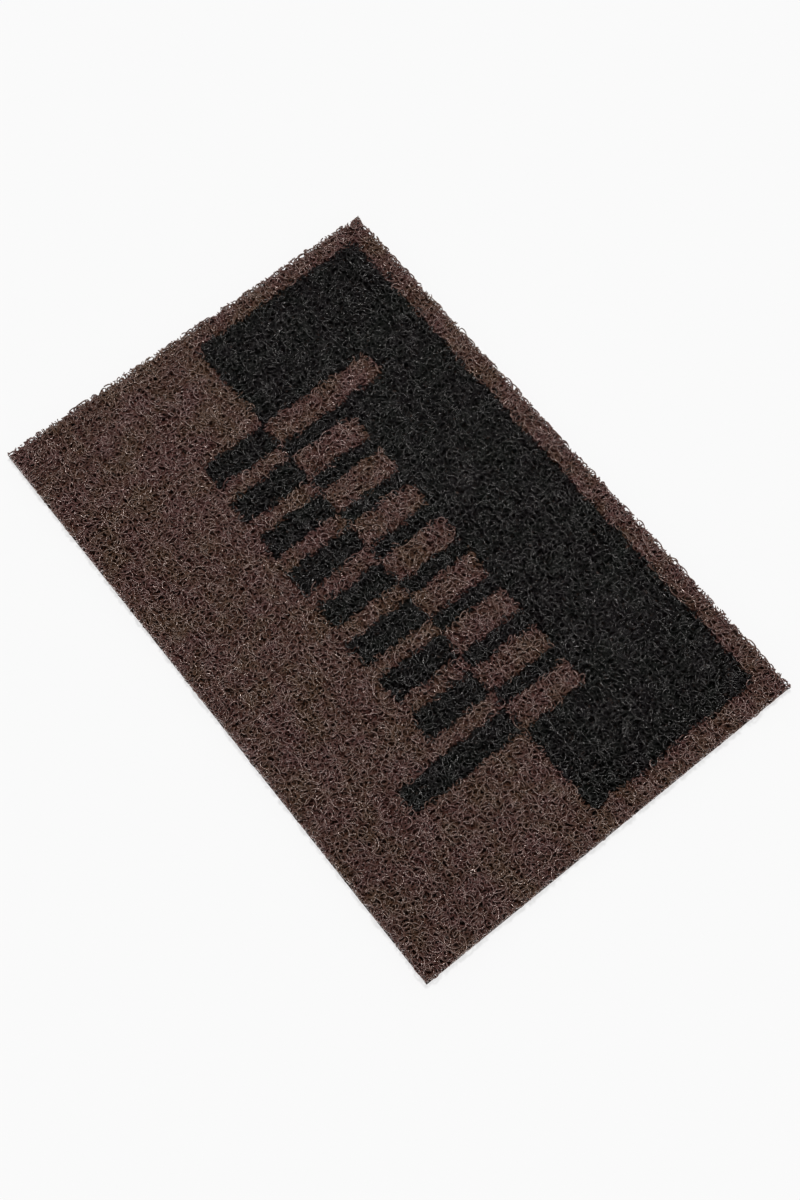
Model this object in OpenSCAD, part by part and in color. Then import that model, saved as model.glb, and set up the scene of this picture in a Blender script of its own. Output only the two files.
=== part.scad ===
// Door mat of looped vinyl filament: die-cut pieces of brown and black coil pile,
// laid edge to edge like marquetry and heat-bonded to one solid backing sheet.
// The mat lies flat with its underside at z = 0. +X runs along the long edge, +Y
// towards the edge beside the black panel, and +Z up through the pile.

/* [Mat] */
// Length of the mat along its long edge
mat_l = 600; // [560:1:640]
// Width of the mat across its short edge
mat_w = 400; // [380:1:440]
// Thickness of the solid backing sheet
backing_t = 2; // [1:0.1:4]
// Height of the coil pile above the backing sheet
pile_h = 10; // [6:0.5:16]

/* [Black panel] */
// Brown border between the panel and the mat's left edge
panel_left = 20; // [8:1:40]
// Brown border between the panel and the mat's right edge
panel_right = 23; // [8:1:40]
// Brown border between the panel and the mat's far edge
panel_far = 20; // [8:1:40]
// Distance from the mat's mid line to the panel's near edge, the seam between colours
seam_offset = 3; // [0:0.5:10]

/* [Bars] */
// Distance from the mat's left edge to the first bar
bars_start = 120; // [100:1:125]
// Width of one bar
bar_w = 27; // [16:0.5:32]
// Distance from one bar to the next, centre to centre
bar_pitch = 42.6; // [38:0.1:44]
// How far the bars reach above the seam
bar_rise = 69; // [50:1:90]
// How far the bars reach below the seam
bar_drop = 70; // [50:1:90]
// How far the first bar reaches above the seam, and the last bar below it
end_reach = 119; // [95:1:130]

/* [Fit] */
// Gap left by the cutting knife between neighbouring pieces of pile
kerf = 0.3; // [0.1:0.05:0.6]

/* [Hidden] */
bar_count = 9;
brown = [0.27, 0.21, 0.19];
black = [0.12, 0.12, 0.12];
dark_brown = [0.21, 0.17, 0.15];

left_x = -mat_l / 2;
right_x = mat_l / 2;
near_y = -mat_w / 2;
far_y = mat_w / 2;
seam_y = -seam_offset;
// A notch runs this far past the seam, so that it opens cleanly
notch_mouth = 1;

upper_names = [for (i = [1:bar_count]) str("upper_bar_", i)];
lower_names = [for (i = [1:bar_count]) str("lower_bar_", i)];

// Left side, upper end and lower end of bar i, counted from 1 at the mat's left
function bar_x(i) = left_x + bars_start + (i - 1) * bar_pitch;
function bar_top(i) = seam_y + (i == 1 ? end_reach : bar_rise);
function bar_bottom(i) = seam_y - (i == bar_count ? end_reach : bar_drop);

// Flat rectangle between two corners, drawn in by inset on every side
module rectangle(x0, y0, x1, y1, inset = 0) {
    translate([x0 + inset, y0 + inset]) square([x1 - x0 - 2 * inset, y1 - y0 - 2 * inset]);
}

// Flat outline of bar i between two heights
module bar_outline(i, y0, y1, inset = 0) {
    rectangle(bar_x(i), y0, bar_x(i) + bar_w, y1, inset);
}

module panel_outline(inset = 0) {
    rectangle(left_x + panel_left, seam_y, right_x - panel_right, far_y - panel_far, inset);
}

// Pile stands on the backing sheet
module pile(shade) {
    color(shade) translate([0, 0, backing_t]) linear_extrude(pile_h) children();
}

module backing_sheet() {
    color(dark_brown) translate([left_x, near_y, 0]) cube([mat_l, mat_w, backing_t]);
}

// Border and near half in one piece, cut out for the panel and notched for the lower bars
module brown_field() {
    pile(brown) difference() {
        rectangle(left_x, near_y, right_x, far_y);
        panel_outline();
        for (i = [1:bar_count]) bar_outline(i, bar_bottom(i), seam_y + notch_mouth);
    }
}

// Panel that fills the field's cut-out, notched along the seam for the upper bars
module black_panel() {
    pile(black) difference() {
        panel_outline(kerf);
        for (i = [1:bar_count]) bar_outline(i, seam_y - notch_mouth, bar_top(i));
    }
}

module upper_bar(i) {
    pile(brown) bar_outline(i, seam_y, bar_top(i), kerf);
}

module lower_bar(i) {
    pile(black) bar_outline(i, bar_bottom(i), seam_y, kerf);
}

backing_sheet();
brown_field();
black_panel();
for (i = [1:bar_count]) upper_bar(i);
for (i = [1:bar_count]) lower_bar(i);
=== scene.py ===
"""Door mat of looped vinyl filament, brown with an inlaid black panel and a row of bars.

The pile is real geometry: long filaments coiled into loops, laid in layers over each other,
cut along the outline of every die-cut piece and standing on one solid backing sheet.
"""

import math

import bpy
import numpy as np
from mathutils import Euler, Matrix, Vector


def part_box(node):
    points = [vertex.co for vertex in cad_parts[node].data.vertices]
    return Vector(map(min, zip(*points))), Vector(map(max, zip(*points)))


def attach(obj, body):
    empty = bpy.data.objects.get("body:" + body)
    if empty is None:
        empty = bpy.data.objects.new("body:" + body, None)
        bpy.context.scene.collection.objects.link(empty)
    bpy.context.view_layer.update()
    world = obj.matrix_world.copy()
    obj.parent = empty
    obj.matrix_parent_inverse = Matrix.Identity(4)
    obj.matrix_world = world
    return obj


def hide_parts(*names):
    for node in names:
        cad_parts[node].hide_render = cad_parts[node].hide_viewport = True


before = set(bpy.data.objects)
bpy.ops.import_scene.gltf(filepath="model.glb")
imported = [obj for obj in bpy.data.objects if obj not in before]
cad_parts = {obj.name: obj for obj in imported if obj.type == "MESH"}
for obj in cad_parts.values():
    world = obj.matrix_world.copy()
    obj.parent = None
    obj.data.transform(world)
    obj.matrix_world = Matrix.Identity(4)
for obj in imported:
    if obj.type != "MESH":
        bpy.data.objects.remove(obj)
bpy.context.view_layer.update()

MM = 0.001
SEED = 20
BODY = "root"

# Pile, in millimetres
FILAMENT = 1.2           # diameter of one filament
SIDES = 4                # sides of a filament's cross-section
POINTS_PER_LOOP = 12
LOOP_RADIUS = 3.8
TRIANGLES_PER_PIECE = 170_000
SHORTEST_RUN = 3         # a filament cut shorter than this many points is left out
OVERRUN = 3              # how far past the mat's edge strands are laid, before they are cut
PRESSED = 2.5            # width of the band along the mat's edge where loops are pressed inwards
OVERHANG = 0.14          # how far a loop may hang past the mat's edge, as a share of its height
CUT_PAST = 1.0           # a strand is cut off where it would run further past the mat's edge
STICK_OUT = 0.6          # the most that a filament may stick out of the pile's top
SQUEEZE = 1.15           # how firmly the pile's top and foot hold the filaments in

# Which piece of pile a point of a strand goes with: partly where it lies itself (0) and partly
# where the middle of its loop lies (1). The figures are the usual share and how far it varies.
# BLEND is how far the loop's middle can draw a point over, for each millimetre of height above
# BLEND_FROM; SLIP how far besides a stretch of SLIP_LOOPS loops may stray over an outline.
WHOLE = 0.7
WHOLE_VARIES = 1.1
BLEND = 0.55
BLEND_FROM = 1
SLIP = 2.2
SLIP_LOOPS = 0.7

# Unevenness of a strand: how far a value wanders to either side, and how many loops it takes to
# wander. Turn is in radians, travel, offset, height and cut in millimetres, the rest are shares.
TURN_WANDER = 1.0, 1.2
RADIUS_WANDER = 0.35, 1.0
TRAVEL_WANDER = 2.2, 1.4
OFFSET_WANDER = 2.5, 1.5
OFFSET_DRIFT = 0.6, 4
STRETCH_WANDER = 0.45, 1.1
SKEW_WANDER = 0.45, 1.3
HEIGHT_WANDER = 0.8, 2
LEAN_WANDER = 1, 1
OVERHANG_WANDER = 0.9, 1.2
CUT_WANDER = 2.2, 1
STRETCH = 0.8            # a loop's usual length and width, as shares of its round size
THICKNESS_WANDER = 0.14
THICKNESS_POINTS = 20    # points over which the thickness changes

# Waves that shift the outlines of the pieces, the first of each pair in x and the second in y.
# One pair runs along the shift and one across it. Each wave has its length, how strongly a second
# wave bends it, and that wave's length, with lengths in millimetres for one radian.
OUTLINE_WANDER = 0.5
ALONG_WAVES = (9.0, 2.1, 13.0), (8.1, 1.9, 15.0)
ACROSS_WAVES = (5.3, 1.7, 17.0), (5.9, 2.3, 19.0)

# Heights between which painted shade darkens a filament's colour and dims its gloss, from the foot
# of the pile up
FOOT = 4.0
CROWN = 11.5

# One layer: height of its middle above the backing sheet as a share of the pile's height, the
# direction that its strands run in, the distance between them, a strand's advance for each loop,
# and the lean of the loops
LAYERS = (
    {"height": 0.82, "along": "x", "spacing": 8.4, "advance": 6.8, "lean": 0.5},
    {"height": 0.72, "along": "y", "spacing": 7.8, "advance": 6.8, "lean": 0.5},
    {"height": 0.58, "along": "x", "spacing": 6.9, "advance": 6.8, "lean": 0.9},
    {"height": 0.44, "along": "y", "spacing": 6.9, "advance": 6.8, "lean": 1.1},
    {"height": 0.30, "along": "x", "spacing": 6.9, "advance": 6.8, "lean": 1.0},
    {"height": 0.17, "along": "y", "spacing": 6.9, "advance": 6.8, "lean": 0.8},
)

# Camera: where it looks, how far off it stands, and its direction round and above the mat
LOOK_AT = (0.0277, -0.0096, 0.0)
DISTANCE = 1.461
AZIMUTH = 51.33
ELEVATION = 69.5
LENS_MM = 50
SENSOR_MM = 36

# Light: brightness of the backdrop as seen, and the shares of it that light the mat from the
# sides and from above. The key lamp is a disk: KEY is the light that it casts at the mat's middle,
# in watts on a square metre that faces it; its size and distance are in metres.
BACKDROP = 0.947
HORIZON = 0.6
ZENITH = 0.3
KEY = 4.2
KEY_SIZE = 0.4
KEY_DISTANCE = 2.2
KEY_TILT = 10
KEY_AZIMUTH = 231.4

# Floor: its own shade, the glow that the camera sees besides, and the stronger glow that lights
# the sides of the mat, as a studio's bright floor does
FLOOR_SHADE = 0.16
FLOOR_SEEN = 0.688
FLOOR_GLOW = 4.5
FLOOR_REACH = 15         # half the floor's width, in metres
FLOOR_GAP = 0.0002       # how far the floor lies below the mat, so that their faces don't meet

# Noise patterns of the materials, as scale and detail
BLOTCHES = 45, 3
STRANDS = 420, 2
GLOSS = 260, 1
COIL_GRAIN = 2600, 2
CLOUDS = 60, 4
BACKING_GRAIN = 1500, 3

# Coil filament: noise levels of the three tints, range of shade from strand to strand, noise level
# where the gloss starts to change, grain as strength and depth in metres, and index of refraction
TINT_STOPS = 0.35, 0.5, 0.65
STRAND_SHADE = 0.72, 1.28
GLOSS_FROM = 0.48
COIL_BUMP = 0.05, 0.0002
VINYL_IOR = 1.5

# The two colours of filament: tints, and the painted shade that the foot of the pile multiplies them
# by; share of the gloss that the foot keeps under painted shade, gloss and its tint; and roughness,
# from the dull to the glossy stretches
BROWN = {
    "tints": (
        (0.0490, 0.0202, 0.0184),
        (0.0475, 0.0217, 0.0162),
        (0.0460, 0.0237, 0.0134),
    ),
    "foot": (0.73, 0.55, 0.44),
    "gloss_foot": 0.35,
    "gloss_level": 0.675,
    "gloss_tint": (1.0, 0.84, 0.78),
    "roughness": (0.36, 0.13),
}
BLACK = {
    "tints": (
        (0.0020, 0.0013, 0.0018),
        (0.0016, 0.0016, 0.0016),
        (0.0012, 0.0019, 0.0014),
    ),
    "foot": (0.65, 0.6, 0.55),
    "gloss_foot": 0.25,
    "gloss_level": 0.30,
    "gloss_tint": (1.0, 0.95, 0.92),
    "roughness": (0.34, 0.13),
}

# Backing: two shades and the noise levels that they stand at, gloss, roughness and grain
BACKING_SHADES = (0.3, (0.026, 0.016, 0.013)), (0.7, (0.036, 0.022, 0.017))
BACKING_GLOSS = 0.15
BACKING_ROUGHNESS = 0.55, 0.75
BACKING_BUMP = 0.35, 0.0003

# Backing sheet: cells of its faces along x and y, and the arris in millimetres
BACKING_CELLS = 120, 80
ARRIS = 0.3

TINY = 1e-6
CORNERS = 4              # corners of a face of a filament


# ---------------------------------------------------------------- outlines of the die-cut pieces

def flat_box(node):
    """A CAD node's box from above, in millimetres: x0, y0, x1, y1."""
    low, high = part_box(node)
    return low.x / MM, low.y / MM, high.x / MM, high.y / MM


def inside(x, y, box):
    return (x > box[0]) & (x < box[2]) & (y > box[1]) & (y < box[3])


MAT = flat_box("backing_sheet")
BACKING_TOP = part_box("backing_sheet")[1].z / MM
PILE_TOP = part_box("brown_field")[1].z / MM
PILE_HEIGHT = PILE_TOP - BACKING_TOP
BARS = sorted(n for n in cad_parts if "bar" in n)
PILES = ["brown_field", "black_panel"] + BARS
OUTSIDE = -1


def piece_at(x, y):
    """Index in PILES of the piece that holds each point, or OUTSIDE."""
    found = np.where(inside(x, y, MAT), 0, OUTSIDE)
    found[inside(x, y, flat_box("black_panel"))] = 1
    for i, bar in enumerate(BARS):
        found[inside(x, y, flat_box(bar))] = 2 + i
    return found


# ---------------------------------------------------------------- coiled filaments

def wander(rng, rows, points, every):
    """Smooth random values from -1 to 1 along each of several strands, changing every few points."""
    spare = 4
    knots = rng.uniform(-1, 1, (rows, int(points / every) + spare))
    at = np.arange(points)[None] / every + rng.uniform(0, 1, (rows, 1))
    left = at.astype(int)
    part = at - left
    part = part * part * (3 - 2 * part)
    row = np.arange(rows)[:, None]
    return knots[row, left] * (1 - part) + knots[row, left + 1] * part


def press_in(value, low, high, limit):
    """Presses what lies near either end of a range, or past it, inwards to a limit past the end."""
    room = PRESSED + limit
    for sign, end in ((1, high), (-1, -low)):
        past = sign * value - end + PRESSED
        value = np.where(past > 0, sign * (end - PRESSED + room * np.tanh(past / room)), value)
    return value


def lay_strands(rng, layer):
    """Every strand of one layer: its points, the middle of the loop that each point is on, and
    whether the point is lost, as it lies past the cut along the mat's edge."""
    x0, y0, x1, y1 = MAT
    if layer["along"] == "x":
        start, length, side, width = x0, x1 - x0, y0, y1 - y0
    else:
        start, length, side, width = y0, y1 - y0, x0, x1 - x0
    rows = round((width + 2 * OVERRUN) / layer["spacing"])
    spacing = (width + 2 * OVERRUN) / rows
    points = int((length + 2 * OVERRUN) / layer["advance"] * POINTS_PER_LOOP)
    step = np.arange(points)[None]

    def noise(amount, loops):
        return amount * wander(rng, rows, points, POINTS_PER_LOOP * loops)

    hand = rng.choice([-1.0, 1.0], (rows, 1))
    turn = step * (2 * math.pi / POINTS_PER_LOOP) + rng.uniform(0, 2 * math.pi, (rows, 1))
    turn = hand * (turn + noise(*TURN_WANDER))
    radius = LOOP_RADIUS * (1 + noise(*RADIUS_WANDER))
    travel = start - OVERRUN + step * (layer["advance"] / POINTS_PER_LOOP)
    travel = travel + noise(*TRAVEL_WANDER)
    offset = side - OVERRUN + (np.arange(rows)[:, None] + 0.5) * spacing
    offset = offset + noise(*OFFSET_WANDER) + noise(*OFFSET_DRIFT)
    stretch = [STRETCH + noise(*STRETCH_WANDER) for _ in range(2)]
    skew = [noise(*SKEW_WANDER) for _ in range(2)]
    along = travel + radius * (stretch[0] * np.cos(turn) + skew[0] * np.sin(turn))
    across = offset + radius * (stretch[1] * np.sin(turn) + skew[1] * np.cos(turn))
    lean = layer["lean"]
    height = BACKING_TOP + layer["height"] * PILE_HEIGHT + noise(*HEIGHT_WANDER)
    tilt = noise(*LEAN_WANDER) * np.cos(turn) + noise(*LEAN_WANDER) * np.sin(turn)
    height = height + radius * lean * tilt
    middle = BACKING_TOP + PILE_HEIGHT / 2
    reach = PILE_HEIGHT / 2 - FILAMENT / 2 + STICK_OUT
    height = middle + reach * np.tanh((height - middle) / reach * SQUEEZE)
    limit = OVERHANG * height * (1 + noise(*OVERHANG_WANDER))
    if layer["along"] == "y":
        along, across, travel, offset = across, along, offset, travel
    past = np.maximum.reduce([x0 - along, along - x1, y0 - across, across - y1])
    lost = past > CUT_PAST + noise(*CUT_WANDER)
    points = [press_in(along, x0, x1, limit), press_in(across, y0, y1, limit), height]
    middles = [press_in(travel, x0, x1, 0), press_in(offset, y0, y1, 0)]
    return np.stack(points, -1), np.stack(middles, -1), lost


def bent_wave(along, across, length, bend, bend_length):
    return np.sin(along / length + bend * np.sin(across / bend_length))


def outline_wander(points):
    """Small smooth shifts of the pieces' outlines, as soft pile never lies along a ruled line."""
    x, y = points[..., 0], points[..., 1]
    shifts = []
    for here, there, along, across in zip((x, y), (y, x), ALONG_WAVES, ACROSS_WAVES):
        shifts.append(bent_wave(here, there, *along) + bent_wave(there, here, *across))
    return OUTLINE_WANDER * np.stack(shifts, -1)


def cut_strands(rng, points, middles, lost):
    """Cuts the strands at the outlines of the pieces and leaves out the points that are lost.
    Returns the runs that are left: piece, first point and number of points of each. Most loops
    go whole with the piece that holds their middle, and the rest are cut at the outline."""
    rows, count = points.shape[:2]
    flat = points[..., :2]
    whole = WHOLE + WHOLE_VARIES * wander(rng, rows, count, POINTS_PER_LOOP)
    inward = np.clip(whole, 0, 1)[..., None] * (middles - flat)
    limit = BLEND * (points[..., 2:] - BLEND_FROM)
    inward *= np.minimum(1, limit / np.maximum(np.linalg.norm(inward, axis=-1, keepdims=True), TINY))
    slip = [SLIP * wander(rng, rows, count, SLIP_LOOPS * POINTS_PER_LOOP) for _ in range(2)]
    tested = flat + inward + outline_wander(points) + np.stack(slip, -1)
    margin = 0.1
    tested = np.clip(tested, np.array(MAT[:2]) + margin, np.array(MAT[2:]) - margin)
    piece = np.where(lost, OUTSIDE, piece_at(tested[..., 0], tested[..., 1]))
    starts = np.ones((rows, count), bool)
    starts[:, 1:] = piece[:, 1:] != piece[:, :-1]
    first = np.flatnonzero(starts)
    lengths = np.diff(np.append(first, rows * count))
    owner = piece.reshape(-1)[first]
    kept = (owner != OUTSIDE) & (lengths >= SHORTEST_RUN)
    return owner[kept], first[kept], lengths[kept]


def tangents(points):
    """Direction of a strand at each of its points."""
    t = np.gradient(points, axis=1)
    return t / np.linalg.norm(t, axis=-1, keepdims=True)


def tube_rings(points, direction, radius):
    """Rings of vertices round a centre line. The line never stands upright, so one axis is level."""
    level = np.stack([-direction[:, 1], direction[:, 0], np.zeros(len(direction))], -1)
    level /= np.maximum(np.linalg.norm(level, axis=-1, keepdims=True), TINY)
    up = np.cross(direction, level)
    angle = ((np.arange(SIDES) + 0.5) * (2 * math.pi / SIDES))[None, :, None]
    ring = level[:, None] * np.cos(angle) + up[:, None] * np.sin(angle)
    return points[:, None] + radius[:, None, None] * ring


def tube_faces(lengths):
    """Corner indices of the four-sided faces along each run of rings, and of its two end faces."""
    first = np.concatenate([[0], np.cumsum(lengths)[:-1]])
    last = first + lengths - 1
    ring = np.setdiff1d(np.arange(lengths.sum()), last, assume_unique=True)
    side = np.arange(SIDES)
    after = (side + 1) % SIDES
    a = ring[:, None] * SIDES
    walls = np.stack([a + side, a + after, a + SIDES + after, a + SIDES + side], -1)
    walls = walls.reshape(-1, CORNERS)
    ends = np.concatenate([first[:, None] * SIDES + side[::-1], last[:, None] * SIDES + side])
    return walls, ends


def mesh_from(name, vertices, walls, ends):
    """A smooth-shaded mesh of four-sided faces with a flat UV map seen from above."""
    faces = np.concatenate([walls, ends]).astype(np.int32)
    mesh = bpy.data.meshes.new(name)
    mesh.vertices.add(len(vertices))
    mesh.vertices.foreach_set("co", vertices.astype(np.float32).ravel())
    mesh.loops.add(faces.size)
    mesh.loops.foreach_set("vertex_index", faces.ravel())
    mesh.polygons.add(len(faces))
    mesh.polygons.foreach_set("loop_start", np.arange(len(faces), dtype=np.int32) * CORNERS)
    smooth = np.ones(len(faces), bool)
    smooth[len(walls):] = False
    mesh.polygons.foreach_set("use_smooth", smooth)
    mesh.update(calc_edges=True)
    low = vertices[:, :2].min(0)
    size = (vertices[:, :2].max(0) - low).max()
    flat = ((vertices[:, :2] - low) / size).astype(np.float32)
    uv = mesh.uv_layers.new(name="OFBake")
    uv.data.foreach_set("uv", flat[faces.ravel()].ravel())
    obj = bpy.data.objects.new(name, mesh)
    bpy.context.scene.collection.objects.link(obj)
    return obj


def batches(lengths):
    """Splits a list of runs into batches that each stay under the limit of triangles."""
    triangles = np.cumsum(lengths) * 2 * SIDES
    cuts = np.flatnonzero(np.diff(triangles // TRIANGLES_PER_PIECE)) + 1
    return np.split(np.arange(len(lengths)), cuts)


def make_pile(materials):
    """All the pile, one or more objects for each die-cut piece."""
    rng = np.random.default_rng(SEED)
    points, directions, radii, owners, firsts, lengths = [], [], [], [], [], []
    base = 0
    for layer in LAYERS:
        p, middle, lost = lay_strands(rng, layer)
        owner, first, length = cut_strands(rng, p, middle, lost)
        uneven = THICKNESS_WANDER * wander(rng, p.shape[0], p.shape[1], THICKNESS_POINTS)
        thick = FILAMENT / 2 * (1 + uneven)
        points.append(p.reshape(-1, 3))
        directions.append(tangents(p).reshape(-1, 3))
        radii.append(thick.ravel())
        owners.append(owner)
        firsts.append(first + base)
        lengths.append(length)
        base += thick.size
    points, directions, radii = map(np.concatenate, (points, directions, radii))
    owners, firsts, lengths = map(np.concatenate, (owners, firsts, lengths))
    made = []
    for index, node in enumerate(PILES):
        mine = np.flatnonzero(owners == index)
        groups = batches(lengths[mine])
        for number, group in enumerate(groups, 1):
            first, length = firsts[mine[group]], lengths[mine[group]]
            start = np.concatenate([[0], np.cumsum(length)[:-1]])
            which = np.arange(length.sum()) - np.repeat(start, length) + np.repeat(first, length)
            rings = tube_rings(points[which], directions[which], radii[which])
            name = f"{node}_coils" + (f"_{number}" if len(groups) > 1 else "")
            obj = mesh_from(name, rings.reshape(-1, 3) * MM, *tube_faces(length))
            colour = "brown_coil" if node.startswith(("brown", "upper")) else "black_coil"
            obj.data.materials.append(materials[colour])
            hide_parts(node)
            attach(obj, BODY)
            made.append(obj)
    return made


# ---------------------------------------------------------------- backing sheet

def make_backing(material):
    """The solid sheet: a fine grid with softened arrises and a knife-cut edge."""
    low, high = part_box("backing_sheet")
    arris = ARRIS * MM
    xs = np.linspace(low.x, high.x, BACKING_CELLS[0] + 1)
    ys = np.linspace(low.y, high.y, BACKING_CELLS[1] + 1)
    vertices, faces = [], []

    def grid(z, flip):
        """One broad face, drawn in by the arris. Returns its border, anticlockwise from above."""
        base = len(vertices)
        inner_x = np.clip(xs, low.x + arris, high.x - arris)
        inner_y = np.clip(ys, low.y + arris, high.y - arris)
        for y in inner_y:
            for x in inner_x:
                vertices.append((x, y, z))
        row = len(xs)
        for j in range(len(ys) - 1):
            for i in range(row - 1):
                a = base + j * row + i
                quad = (a, a + 1, a + row + 1, a + row)
                faces.append(quad[::-1] if flip else quad)
        edge = [base + i for i in range(row)]
        edge += [base + j * row + row - 1 for j in range(1, len(ys))]
        edge += [base + (len(ys) - 1) * row + i for i in range(row - 2, -1, -1)]
        edge += [base + j * row for j in range(len(ys) - 2, 0, -1)]
        return edge

    def rim(z):
        """A ring of vertices round the mat's full outline, in the order of a face's border."""
        base = len(vertices)
        ring = [(x, low.y) for x in xs] + [(high.x, y) for y in ys[1:]]
        ring += [(x, high.y) for x in xs[-2::-1]] + [(low.x, y) for y in ys[-2:0:-1]]
        vertices.extend((x, y, z) for x, y in ring)
        return list(range(base, len(vertices)))

    rings = [grid(low.z, True), rim(low.z + arris), rim(high.z - arris), grid(high.z, False)]
    for a, b in zip(rings, rings[1:]):
        n = len(a)
        faces.extend((a[i], a[(i + 1) % n], b[(i + 1) % n], b[i]) for i in range(n))
    mesh = bpy.data.meshes.new("backing")
    mesh.from_pydata(vertices, [], faces)
    mesh.update()
    obj = bpy.data.objects.new("backing_sheet_cut", mesh)
    bpy.context.scene.collection.objects.link(obj)
    obj.data.materials.append(material)
    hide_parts("backing_sheet")
    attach(obj, BODY)
    return obj


# ---------------------------------------------------------------- materials

def new_material(name):
    material = bpy.data.materials.new(name)
    material.use_nodes = True
    nodes = material.node_tree.nodes
    return material, nodes, material.node_tree.links, nodes["Principled BSDF"]


def noise_node(nodes, links, where, scale, detail):
    node = nodes.new("ShaderNodeTexNoise")
    node.inputs["Scale"].default_value = scale
    node.inputs["Detail"].default_value = detail
    links.new(where.outputs["Object"], node.inputs["Vector"])
    return node


def ramp_node(nodes, links, source, stops):
    """Turns a value into a colour; stops are positions and colours."""
    ramp = nodes.new("ShaderNodeValToRGB")
    elements = ramp.color_ramp.elements
    while len(elements) < len(stops):
        elements.new(0.5)
    for element, (position, colour) in zip(elements, stops):
        element.position = position
        element.color = (*colour, 1)
    links.new(source, ramp.inputs["Fac"])
    return ramp


def range_node(nodes, links, source, low, high, start=0.3, end=0.7):
    """Spreads a value over a range, by default from the usual bounds of a noise pattern."""
    node = nodes.new("ShaderNodeMapRange")
    node.inputs["From Min"].default_value = start
    node.inputs["From Max"].default_value = end
    node.inputs["To Min"].default_value = low
    node.inputs["To Max"].default_value = high
    links.new(source, node.inputs["Value"])
    return node


def bump_node(nodes, links, where, pattern, strength, distance):
    grain = noise_node(nodes, links, where, *pattern)
    bump = nodes.new("ShaderNodeBump")
    bump.inputs["Strength"].default_value = strength
    bump.inputs["Distance"].default_value = distance
    links.new(grain.outputs["Fac"], bump.inputs["Height"])
    return bump


def coil_material(name, tints, foot, gloss_foot, gloss_level, gloss_tint, roughness):
    """Extruded vinyl filament: blotches of tint, strand-to-strand shade, painted shade that darkens
    the colour and dims the gloss towards the foot of the pile, and a satin surface with glossier
    stretches."""
    material, nodes, links, shader = new_material(name)
    where = nodes.new("ShaderNodeTexCoord")
    blotch = noise_node(nodes, links, where, *BLOTCHES)
    tint = ramp_node(nodes, links, blotch.outputs["Fac"], list(zip(TINT_STOPS, tints)))
    # Painted shade: the colour darkens towards the foot of the pile, where the filaments shade each
    # other
    split = nodes.new("ShaderNodeSeparateXYZ")
    links.new(where.outputs["Object"], split.inputs[0])
    rise = FOOT * MM, CROWN * MM
    level = range_node(nodes, links, split.outputs["Z"], 0, 1, *rise)
    depth = ramp_node(nodes, links, level.outputs["Result"], [(0, foot), (1, (1, 1, 1))])
    shaded_tint = nodes.new("ShaderNodeVectorMath")
    shaded_tint.operation = "MULTIPLY"
    links.new(tint.outputs["Color"], shaded_tint.inputs[0])
    links.new(depth.outputs["Color"], shaded_tint.inputs[1])
    strand = noise_node(nodes, links, where, *STRANDS)
    shade = range_node(nodes, links, strand.outputs["Fac"], *STRAND_SHADE)
    colour = nodes.new("ShaderNodeVectorMath")
    colour.operation = "SCALE"
    links.new(shaded_tint.outputs["Vector"], colour.inputs[0])
    links.new(shade.outputs["Result"], colour.inputs["Scale"])
    links.new(colour.outputs["Vector"], shader.inputs["Base Color"])
    sheen = noise_node(nodes, links, where, *GLOSS)
    gloss = range_node(nodes, links, sheen.outputs["Fac"], *roughness, start=GLOSS_FROM)
    links.new(gloss.outputs["Result"], shader.inputs["Roughness"])
    bump = bump_node(nodes, links, where, COIL_GRAIN, *COIL_BUMP)
    links.new(bump.outputs["Normal"], shader.inputs["Normal"])
    shader.inputs["IOR"].default_value = VINYL_IOR
    # Painted shade on the gloss: it dims towards the foot of the pile, where the filaments shade
    # each other
    low_gloss = gloss_level * gloss_foot
    shaded_gloss = range_node(nodes, links, split.outputs["Z"], low_gloss, gloss_level, *rise)
    links.new(shaded_gloss.outputs["Result"], shader.inputs["Specular IOR Level"])
    shader.inputs["Specular Tint"].default_value = (*gloss_tint, 1)
    return material


def backing_material():
    """Solid vinyl sheet, cloudy and matt with a fine grain."""
    material, nodes, links, shader = new_material("backing_vinyl")
    where = nodes.new("ShaderNodeTexCoord")
    cloud = noise_node(nodes, links, where, *CLOUDS)
    shade = ramp_node(nodes, links, cloud.outputs["Fac"], BACKING_SHADES)
    links.new(shade.outputs["Color"], shader.inputs["Base Color"])
    shader.inputs["Specular IOR Level"].default_value = BACKING_GLOSS
    dull = range_node(nodes, links, cloud.outputs["Fac"], *BACKING_ROUGHNESS)
    links.new(dull.outputs["Result"], shader.inputs["Roughness"])
    bump = bump_node(nodes, links, where, BACKING_GRAIN, *BACKING_BUMP)
    links.new(bump.outputs["Normal"], shader.inputs["Normal"])
    return material


# ---------------------------------------------------------------- floor, light and camera

def key_place():
    """Turn and place of the key lamp."""
    turn = Euler((math.radians(KEY_TILT), 0, math.radians(KEY_AZIMUTH)))
    return turn, turn.to_matrix() @ Vector((0, 0, KEY_DISTANCE))


def math_node(nodes, links, operation, first, second):
    """A node for one sum; each side is a number or another node's output."""
    node = nodes.new("ShaderNodeMath")
    node.operation = operation
    for socket, value in zip(node.inputs, (first, second)):
        if isinstance(value, (int, float)):
            socket.default_value = value
        else:
            links.new(value, socket)
    return node.outputs["Value"]


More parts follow.
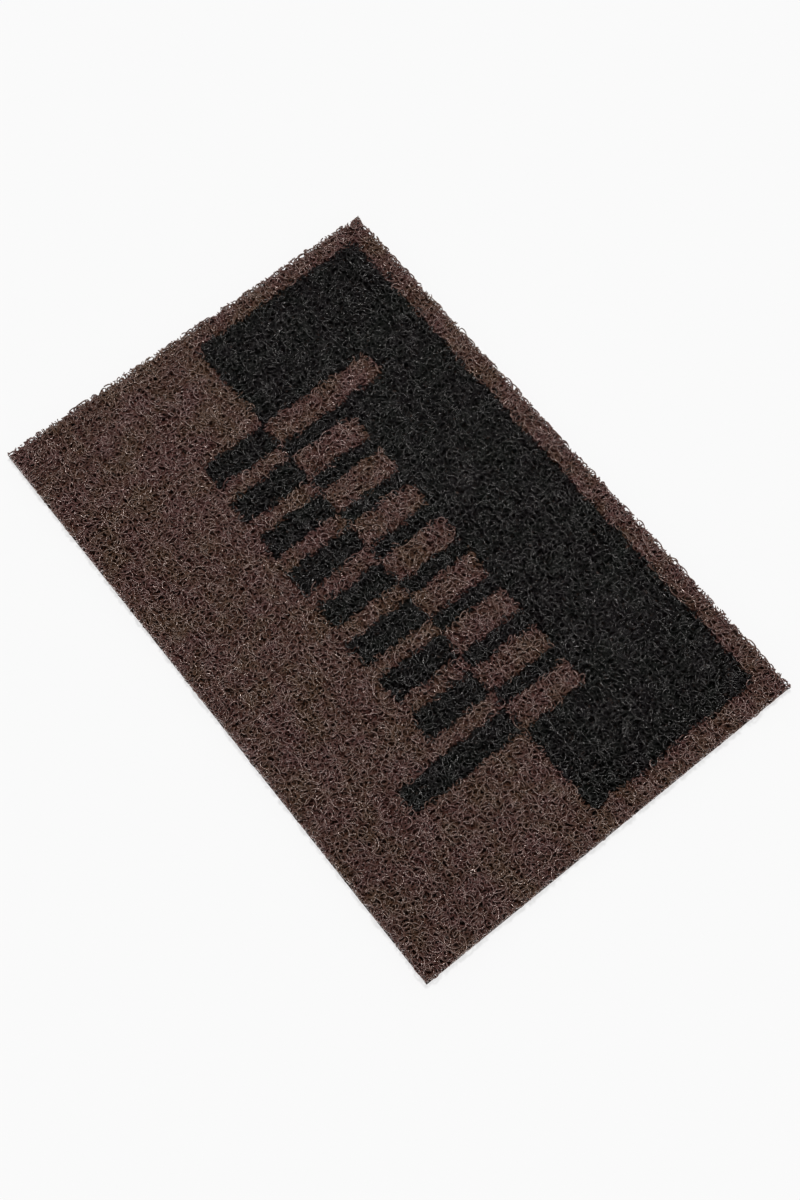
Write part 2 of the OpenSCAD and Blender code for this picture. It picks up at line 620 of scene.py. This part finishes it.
def even_floor(nodes, links):
    """Strength of the floor's own glow as seen. It makes up for the key lamp's falling off with
    distance, so that the floor looks equally pale everywhere."""
    lamp = key_place()[1]
    where = nodes.new("ShaderNodeNewGeometry")
    toward = nodes.new("ShaderNodeVectorMath")
    toward.operation = "DOT_PRODUCT"
    toward.inputs[1].default_value = lamp
    links.new(where.outputs["Position"], toward.inputs[0])
    apart = nodes.new("ShaderNodeVectorMath")
    apart.operation = "DISTANCE"
    apart.inputs[1].default_value = lamp
    links.new(where.outputs["Position"], apart.inputs[0])
    facing = math_node(nodes, links, "SUBTRACT", KEY_DISTANCE ** 2, toward.outputs["Value"])
    spread = math_node(nodes, links, "POWER", apart.outputs["Value"], 4)
    share = math_node(nodes, links, "DIVIDE", facing, spread)
    middle = FLOOR_SHADE / math.pi * KEY * lamp.z / KEY_DISTANCE
    lit = math_node(nodes, links, "MULTIPLY", share, middle * KEY_DISTANCE ** 2)
    return math_node(nodes, links, "SUBTRACT", FLOOR_SEEN + middle, lit)


def make_stage():
    """A plain pale floor, just below the mat."""
    r = FLOOR_REACH
    mesh = bpy.data.meshes.new("floor")
    mesh.from_pydata([(-r, -r, 0), (r, -r, 0), (r, r, 0), (-r, r, 0)], [], [(0, 1, 2, 3)])
    floor = bpy.data.objects.new("floor", mesh)
    bpy.context.scene.collection.objects.link(floor)
    floor.location.z = -FLOOR_GAP
    material, nodes, links, shader = new_material("pale_floor")
    shader.inputs["Base Color"].default_value = (FLOOR_SHADE, FLOOR_SHADE, FLOOR_SHADE, 1)
    shader.inputs["Roughness"].default_value = 1
    shader.inputs["Specular IOR Level"].default_value = 0
    shader.inputs["Emission Color"].default_value = (1, 1, 1, 1)
    seen = nodes.new("ShaderNodeLightPath")
    glow = nodes.new("ShaderNodeMix")
    glow.inputs["A"].default_value = FLOOR_GLOW
    links.new(even_floor(nodes, links), glow.inputs["B"])
    links.new(seen.outputs["Is Camera Ray"], glow.inputs["Factor"])
    links.new(glow.outputs["Result"], shader.inputs["Emission Strength"])
    mesh.materials.append(material)


def make_light():
    """An even backdrop, which gives less light than it looks to, and the key lamp."""
    world = bpy.data.worlds.new("studio")
    bpy.context.scene.world = world
    world.use_nodes = True
    nodes, links = world.node_tree.nodes, world.node_tree.links
    background = nodes["Background"]
    background.inputs["Color"].default_value = (BACKDROP, BACKDROP, BACKDROP, 1)
    where = nodes.new("ShaderNodeTexCoord")
    split = nodes.new("ShaderNodeSeparateXYZ")
    links.new(where.outputs["Generated"], split.inputs[0])
    sky = nodes.new("ShaderNodeMapRange")
    sky.interpolation_type = "SMOOTHSTEP"
    sky.inputs["To Min"].default_value = HORIZON
    sky.inputs["To Max"].default_value = ZENITH
    links.new(split.outputs["Z"], sky.inputs["Value"])
    seen = nodes.new("ShaderNodeLightPath")
    level = nodes.new("ShaderNodeMix")
    level.inputs["B"].default_value = 1
    links.new(seen.outputs["Is Camera Ray"], level.inputs["Factor"])
    links.new(sky.outputs["Result"], level.inputs["A"])
    links.new(level.outputs["Result"], background.inputs["Strength"])
    disk = bpy.data.lights.new("key", "AREA")
    disk.shape = "DISK"
    disk.size = KEY_SIZE
    disk.energy = KEY * math.pi * KEY_DISTANCE ** 2
    lamp = bpy.data.objects.new("key", disk)
    lamp.rotation_euler, lamp.location = key_place()
    bpy.context.scene.collection.objects.link(lamp)


def make_camera():
    """A camera above the mat's near right corner, without roll."""
    data = bpy.data.cameras.new("camera")
    data.lens = LENS_MM
    data.sensor_width = SENSOR_MM
    camera = bpy.data.objects.new("camera", data)
    a, e = math.radians(AZIMUTH), math.radians(ELEVATION)
    back = Vector((math.sin(a) * math.cos(e), -math.cos(a) * math.cos(e), math.sin(e)))
    camera.location = Vector(LOOK_AT) + back * DISTANCE
    camera.rotation_euler = back.to_track_quat("Z", "Y").to_euler()
    bpy.context.scene.collection.objects.link(camera)
    bpy.context.scene.camera = camera


make_camera()
make_light()
make_stage()
bpy.context.scene.view_settings.view_transform = "Standard"

materials = {
    "brown_coil": coil_material("brown_coil", **BROWN),
    "black_coil": coil_material("black_coil", **BLACK),
}
backing = make_backing(backing_material())
piles = make_pile(materials)
